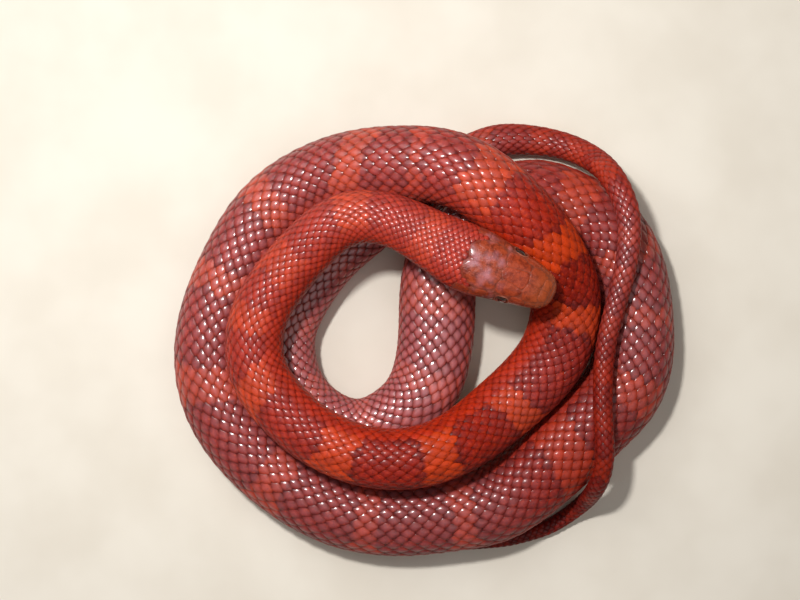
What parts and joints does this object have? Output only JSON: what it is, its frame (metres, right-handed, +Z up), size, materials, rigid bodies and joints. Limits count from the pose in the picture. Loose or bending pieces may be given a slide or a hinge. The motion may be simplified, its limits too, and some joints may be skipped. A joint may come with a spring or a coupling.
{
  "type": "corn snake",
  "caption": "Slim corn snake in red and orange saddles, coiled in two stacked loops with its head resting on its own back.",
  "frame": {"origin": "bottom centre of the whole coiled animal's bounding box, on the floor", "axes": "+Z up from the floor, +X and +Y in the floor, +X towards the side where the tail crosses over; the snout points along +X and a little along -Y"},
  "size_m": [0.1414, 0.1232, 0.0426],
  "materials": {
    "head_skin": "smooth shields, semi-gloss, rusty orange brown",
    "lip_skin": "smooth lip and chin shields, semi-gloss, pale orange",
    "eye": "wet gloss under a clear scale, dark red iris and black pupil",
    "front_skin": "small smooth scales, semi-gloss, bright red and orange",
    "rear_skin": "weakly keeled scales, semi-gloss, dark red with a mauve sheen",
    "tail_skin": "small scales, semi-gloss, orange and purple-red bands"
  },
  "bodies": {
    "root": {"head": "head_skin", "lower_jaw": "lip_skin", "eye_left": "eye", "eye_right": "eye", "neck": "front_skin", "torso_01": "front_skin", "torso_02": "front_skin", "torso_03": "front_skin", "torso_04": "front_skin", "torso_05": "front_skin", "torso_06": "front_skin", "torso_07": "front_skin", "torso_08": "rear_skin", "torso_09": "rear_skin", "torso_10": "rear_skin", "torso_11": "rear_skin", "torso_12": "rear_skin", "torso_13": "rear_skin", "torso_14": "rear_skin", "torso_15": "rear_skin", "torso_16": "rear_skin", "torso_17": "rear_skin", "torso_18": "rear_skin", "torso_19": "rear_skin", "tail_1": "tail_skin", "tail_2": "tail_skin", "tail_3": "tail_skin", "tail_4": "tail_skin", "tail_5": "tail_skin"}
  },
  "joints": []
}
